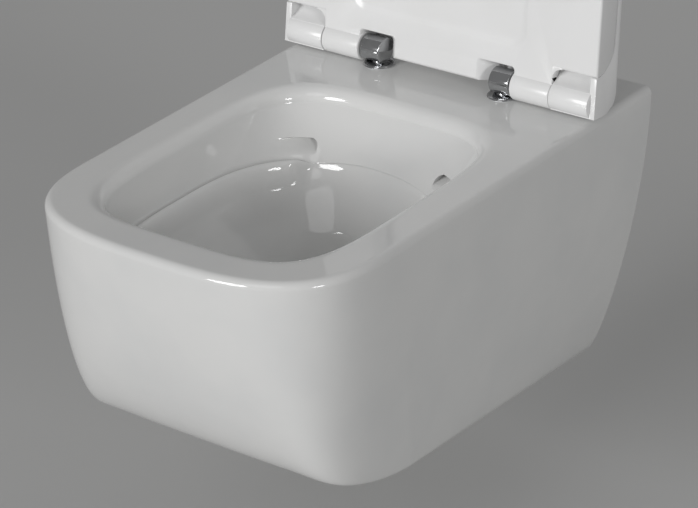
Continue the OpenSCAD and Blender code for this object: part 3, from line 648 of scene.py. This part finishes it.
# where the lid's ear meets the seat: [ahead of the axis, above the axis]
parting = [[28.5, seatUnder - 20], [28.5, seatUnder], [29.1, seatUnder + 4],
           [30.2, seatUnder + 8.4], [32.2, seatTop - 18], [35, seatTop - 12.9],
           [39.5, seatTop - 8], [44, seatTop - 3.8], [50, seatTop - 0.8],
           [57, seatTop + cover["lidGap"]]]
earBack = hinge["barrelD"] / 2 - hinge["cleared"]


def finishSolid(piece, name, body, node):     # clean, bevel and turn it up to its rest pose
    piece.name = name
    turn = (Matrix.Translation((0, -hinge["y"] * mm, axisZ * mm)) @
            Matrix.Rotation(math.radians(-cover["openAngle"]), 4, "X") @
            Matrix.Translation((0, hinge["y"] * mm, -axisZ * mm)))
    shape = bmesh.new()
    shape.from_mesh(piece.data)
    bmesh.ops.remove_doubles(shape, verts=shape.verts, dist=0.00002)
    bmesh.ops.dissolve_limit(shape, angle_limit=math.radians(0.2), verts=shape.verts,
                             edges=shape.edges)
    shape.to_mesh(piece.data)
    shape.free()
    edge = piece.modifiers.new("edges", "BEVEL")
    edge.width, edge.segments, edge.limit_method = cover["bevel"] * mm, 2, "ANGLE"
    edge.angle_limit, edge.miter_outer = math.radians(32), "MITER_ARC"
    edge.use_clamp_overlap = True
    applyAll(piece)
    piece.data.transform(turn)
    dress(piece.data, plastic, cover["sharp"])
    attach(piece, body)
    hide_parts(node)
    print(name + ":", len(piece.data.polygons), "faces")


def makeSeat():
    body = coverSolid("seatBody", -4, rounds(seatTop, cover["seatTopRound"]) +
                      lowRounds(seatUnder, cover["seatRound"]))
    limit = profileSolid("limit", -pan["width"], pan["width"],
                         [[-3, seatUnder + 2], [-1, seatUnder], [far, seatUnder],
                          [far, seatTop], [1.5, seatTop], [-1.7, seatTop - 1.3],
                          [-3, seatTop - 4.5]])
    carve(body, "INTERSECT", limit)
    barrelEnd = barrelX + hinge["barrelL"]
    carve(body, "DIFFERENCE", *(notchSolid("notch", side) for side in (-1, 1)))
    carve(body, "UNION", *bothSides(rodSolid, barrelX, barrelEnd, hinge["barrelD"] / 2,
                                    hinge["soft"]))
    y0 = -hinge["y"] - cover["holeY"]
    fractions = np.linspace(0, 1, 60)
    levels = [[seatTop + 1, 7], [seatTop, 6], [seatTop - 0.6, 4.2], [seatTop - 2, 2.2],
              [seatTop - 3.6, 0.8], [seatTop - 6, 0], [seatUnder + 5, 0],
              [seatUnder + 2.4, 0.4], [seatUnder + 1, 1.2], [seatUnder, 2.6],
              [seatUnder - 1, 4.4]]
    hole = looseSolid("hole", [np.column_stack([
        ovalPoints(cover["holeWidth"] / 2 + out, y0 - cover["holeLength"] - out, y0 + out,
                   cover["holePower"], cover["holePower"], fractions),
        np.full(4 * len(fractions) - 4, axisZ + height)]) for height, out in levels])
    carve(body, "DIFFERENCE", hole)
    soft = notch["edge"]                      # the seat's edge by the ear is rounded over
    over = [[soft * (1 - math.sin(b)), seatUnder + soft * (1 - math.cos(b))]
            for b in np.radians([0, 20, 40, 60, 78])]
    edge = [[over[0][0] + parting[0][0], seatUnder - 20]] + \
        [[parting[0][0] + out, h] for out, h in over] + \
        [[s, h] for s, h in parting if h > seatUnder + soft]
    carve(body, "DIFFERENCE",
          *bothSides(rodSolid, barrelX - 1, barrelEnd + 1, hinge["socket"]),
          *bothSides(profileSolid, barrelEnd, pan["width"],
                     [[-far, seatUnder - 20]] + [[s + cover["lidGap"], h] for s, h in edge] +
                     [[57, seatTop + 9], [-far, seatTop + 9]]))
    corner = parting[0][0] + cover["lidGap"]  # a fillet in the notch's corner by the ear
    carve(body, "UNION", *bothSides(filletSolid, barrelEnd - 0.5, barrelEnd, corner,
                                    notch["fillet"]))
    deep = cover["recessDepth"]
    carve(body, "DIFFERENCE", recessSolid(
        "recess", y0 - cover["recessBack"], axisZ + seatUnder, cover["recessWidth"],
        cover["holeY"] - 10, cover["recessRound"],
        [[-1, -2], [0, 0], [0.25 * deep, 2], [0.75 * deep, 5], [deep, 8]]))
    finishSolid(body, "toilet_seat", "seat", "seat")


# the lid's outline at the hinge end: (ahead of the ear's back, above the seat or the lid)
lidEdge = {"ear": [[0, 0], [0.3, 13], [0.8, 17], [1.5, 20.5], [2.5, 23.4], [4, 26],
                   [5.8, 28.6]],
           "back": [[12.5, -4.1], [18, -2.2], [24, -0.9], [31, -0.2], [38, 1]],
           "notch": [[0, -20], [12, -1], [14.5, 3.5], [18, 8.5], [22.5, 12.8], [28, 16.4],
                     [40, 21], [40, -20]]}


def makeLid():
    edges = rounds(lidFront, cover["lidRound"], cover["lidRise"]) + [
        [lidUnder + 0.8, 0, 0], [seatUnder, 0, 0]]
    body = coverSolid("lidBody", -earBack - 1, edges)
    top = [[-earBack + ahead, seatUnder + up] for ahead, up in lidEdge["ear"]] + \
        [[-earBack + 8, seatTop + 3]] + \
        [[-earBack + ahead, lidBack + up] for ahead, up in lidEdge["back"]] + \
        [[far, lidBack + 1], [far, seatUnder]]
    carve(body, "INTERSECT", profileSolid("limit", -pan["width"], pan["width"], top))
    low = seatUnder - 20
    earWall = (pan["width"] + (pan["frontWidth"] - pan["width"]) * -hinge["y"] / cornerY) / 2 \
        + cover["over"] - hinge["earWall"]
    carve(body, "DIFFERENCE",
          profileSolid("inside", -pan["width"], pan["width"],
                       parting + [[far * 2, lidUnder], [far * 2, low]]),
          profileSolid("between", -earX, earX,
                       [[-far, lidUnder], [60, lidUnder], [60, low], [-far, low]]),
          profileSolid("behind", -earX, earX,
                       [[-far, lidBack + 9], [-4, lidBack + 9], [-4, low], [-far, low]]),
          *bothSides(profileSolid, earX - 1, earWall,
                     [[ahead, seatUnder + up] for ahead, up in lidEdge["notch"]]))
    carve(body, "UNION", *bothSides(rodSolid, earX, earWall + 1, hinge["barrelD"] / 2))
    carve(body, "DIFFERENCE",
          *bothSides(rodSolid, earX - 1, earX + hinge["bushL"], hinge["socket"]))
    finishSolid(body, "toilet_lid", "lid", "lid")


makeSeat()
makeLid()

# Chrome of the hinges
chromeParts = {"edge": 0.9, "neck": 6.3, "flare": 1.5, "neckTop": -9.5, "discLow": 1.0,
               "sides": 96, "sharp": 35,
               "disc": [(0, 2.9), (9.5, 2.7), (12.5, 2.3), (14.2, 2.15), (15.4, 1.75),
                        (16.2, 1.1), (16.5, 0.5), (16.4, 0)]}


def turned(name, profile, place, acrossX):    # (radius, distance) pairs turned round an axis
    a = np.linspace(0, 2 * math.pi, chromeParts["sides"], endpoint=False)
    rings = []
    for r, d in profile:
        ring = np.stack([r * np.cos(a), r * np.sin(a), np.full(len(a), float(d))], 1)
        rings.append((ring[:, [2, 0, 1]] if acrossX else ring) + place)
    return looseSolid(name, rings)


def makeChrome(side, word):
    r, e, low = hinge["knuckleD"] / 2, chromeParts["edge"], chromeParts["discLow"]
    curve = [(e * (1 - math.sin(b)), e * (1 - math.cos(b)))
             for b in np.radians([0, 25, 50, 75, 90])]
    profile = [(0.01, 0)] + [(r - inset, d) for inset, d in curve] + \
        [(r - inset, hinge["knuckleL"] - d) for inset, d in curve[::-1]] + \
        [(0.01, hinge["knuckleL"])]
    x0 = knuckleX if side > 0 else -knuckleX - hinge["knuckleL"]
    knuckle = turned("hinge_knuckle_" + word + "_fine", profile, (x0, -hinge["y"], axisZ), True)
    foot, neck = pan["rimZ"] + low + chromeParts["disc"][0][1] - 0.3, chromeParts["neck"]
    rows = [(0.01, foot)] + [(neck + chromeParts["flare"] * (1 - math.sin(b)), foot + 0.1 +
                              chromeParts["flare"] * (1 - math.cos(b)))
                             for b in np.radians([10, 35, 60, 90])]
    rows += [(neck, axisZ + chromeParts["neckTop"]), (0.01, axisZ + chromeParts["neckTop"])]
    place = (side * hinge["gap"] / 2, -hinge["y"], 0)
    carve(knuckle, "UNION", turned("neck", rows, place, False))
    disc = turned("hinge_disc_" + word + "_fine",
                  [(max(q, 0.01), pan["rimZ"] + low + h) for q, h in chromeParts["disc"]] +
                  [(0.01, pan["rimZ"] + low)], place, False)
    for piece, node, slotName in ((knuckle, "hinge_knuckle_" + word, "hinge"),
                                  (disc, "hinge_disc_" + word, "disc")):
        dress(piece.data, chrome, chromeParts["sharp"])
        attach(piece, "pan")
        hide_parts(node)


makeChrome(-1, "left")
makeChrome(1, "right")
print("hinges made")

# Finishes on the CAD pieces
finishOf = {"hinge_studs": chrome, "hinge_pin": chrome, "hinge_nuts": chrome,
            "fixing_sleeves": rubber, "inlet_seal": rubber, "hinge_washers": rubber,
            "hinge_plugs": rubber, "seat_buffer": rubber, "lid_buffer": rubber,
            "seat_damper": rubber, "lid_bush": rubber}
for name, solid in nodes.items():
    for start, finish in finishOf.items():
        if name.startswith(start):
            solid.data.materials.clear()
            solid.data.materials.append(finish)
print("hardware finished")

# Floor, light, camera
# a lamp is its strength, its width in degrees and the way to it
studio = {"floorZ": -0.3757, "floorSize": 44, "floor": (0.56, 0.56, 0.555),
          "floorWear": 0.97, "floorRough": 0.65,
          "ambient": 0.25, "background": (0.255, 0.255, 0.255),
          "lamps": {"key": (1.5, 22, (-0.75, -3.05, 0.8)),
                    "side": (0.62, 14, (2.75, -1.25, 0.8)),
                    "top": (0.25, 30, (0.3, -2.55, 2.3))}}
camera = {"turn": 0.6662, "tilt": 0.4735, "roll": -0.0464, "lens": 151.361433,
          "away": 2.93011, "target": (0.00604, -0.270, -0.04364)}


def makeStage():
    bpy.ops.mesh.primitive_grid_add(x_subdivisions=20, y_subdivisions=20,
                                    size=studio["floorSize"],
                                    location=(0, 0, studio["floorZ"]))
    floor = bpy.context.object
    floor.name = "floor"
    made = Finish("paleFloor", Roughness=studio["floorRough"])
    tone = made.noise(3, 4)
    worn = tuple(c * studio["floorWear"] for c in studio["floor"])
    floor.data.materials.append(made.feed(
        Base_Color=made.blendColours(tone, studio["floor"], worn)))
    world = bpy.data.worlds.new("studio")
    bpy.context.scene.world = world
    world.use_nodes = True
    tree = world.node_tree
    tree.nodes.clear()
    light, seen, mix, ray, first, most, out = (
        tree.nodes.new("ShaderNode" + kind) for kind in
        ("Background", "Background", "MixShader", "LightPath", "Math", "Math", "OutputWorld"))
    first.operation = most.operation = "MAXIMUM"
    light.inputs["Color"].default_value = (1, 1, 1, 1)
    light.inputs["Strength"].default_value = studio["ambient"]
    seen.inputs["Color"].default_value = (*studio["background"], 1)
    for node, socket, source in ((first, 0, ray.outputs["Is Camera Ray"]),
                                 (first, 1, ray.outputs["Is Glossy Ray"]),
                                 (most, 0, first.outputs[0]),
                                 (most, 1, ray.outputs["Is Transmission Ray"]),
                                 (mix, "Fac", most.outputs[0])):
        tree.links.new(source, node.inputs[socket])
    tree.links.new(light.outputs[0], mix.inputs[1])
    tree.links.new(seen.outputs[0], mix.inputs[2])
    tree.links.new(mix.outputs[0], out.inputs["Surface"])
    for name, (power, width, way) in studio["lamps"].items():
        lamp = bpy.data.lights.new(name, "SUN")
        lamp.energy, lamp.angle = power, math.radians(width)
        farLight = bpy.data.objects.new(name, lamp)
        farLight.location = way
        farLight.rotation_euler = Vector(way).to_track_quat("Z", "Y").to_euler()
        bpy.context.scene.collection.objects.link(farLight)


def makeCamera():
    t, p, r = camera["turn"], camera["tilt"], camera["roll"]
    backward = Vector((math.sin(t) * math.cos(p), -math.cos(t) * math.cos(p), math.sin(p)))
    right = (-backward).cross(Vector((0, 0, 1))).normalized()
    up = right.cross(-backward)
    x = math.cos(r) * right + math.sin(r) * up
    y = math.cos(r) * up - math.sin(r) * right
    data = bpy.data.cameras.new("camera")
    data.sensor_fit, data.sensor_width, data.lens = "HORIZONTAL", 36, camera["lens"]
    data.clip_end = 50
    seen = bpy.data.objects.new("camera", data)
    place = Matrix((x, y, backward)).transposed().to_4x4()
    place.translation = Vector(camera["target"]) + camera["away"] * backward
    seen.matrix_world = place
    bpy.context.scene.collection.objects.link(seen)
    bpy.context.scene.camera = seen


makeStage()
makeCamera()
bpy.context.scene.view_settings.view_transform = "Standard"
print("stage, light and camera set")
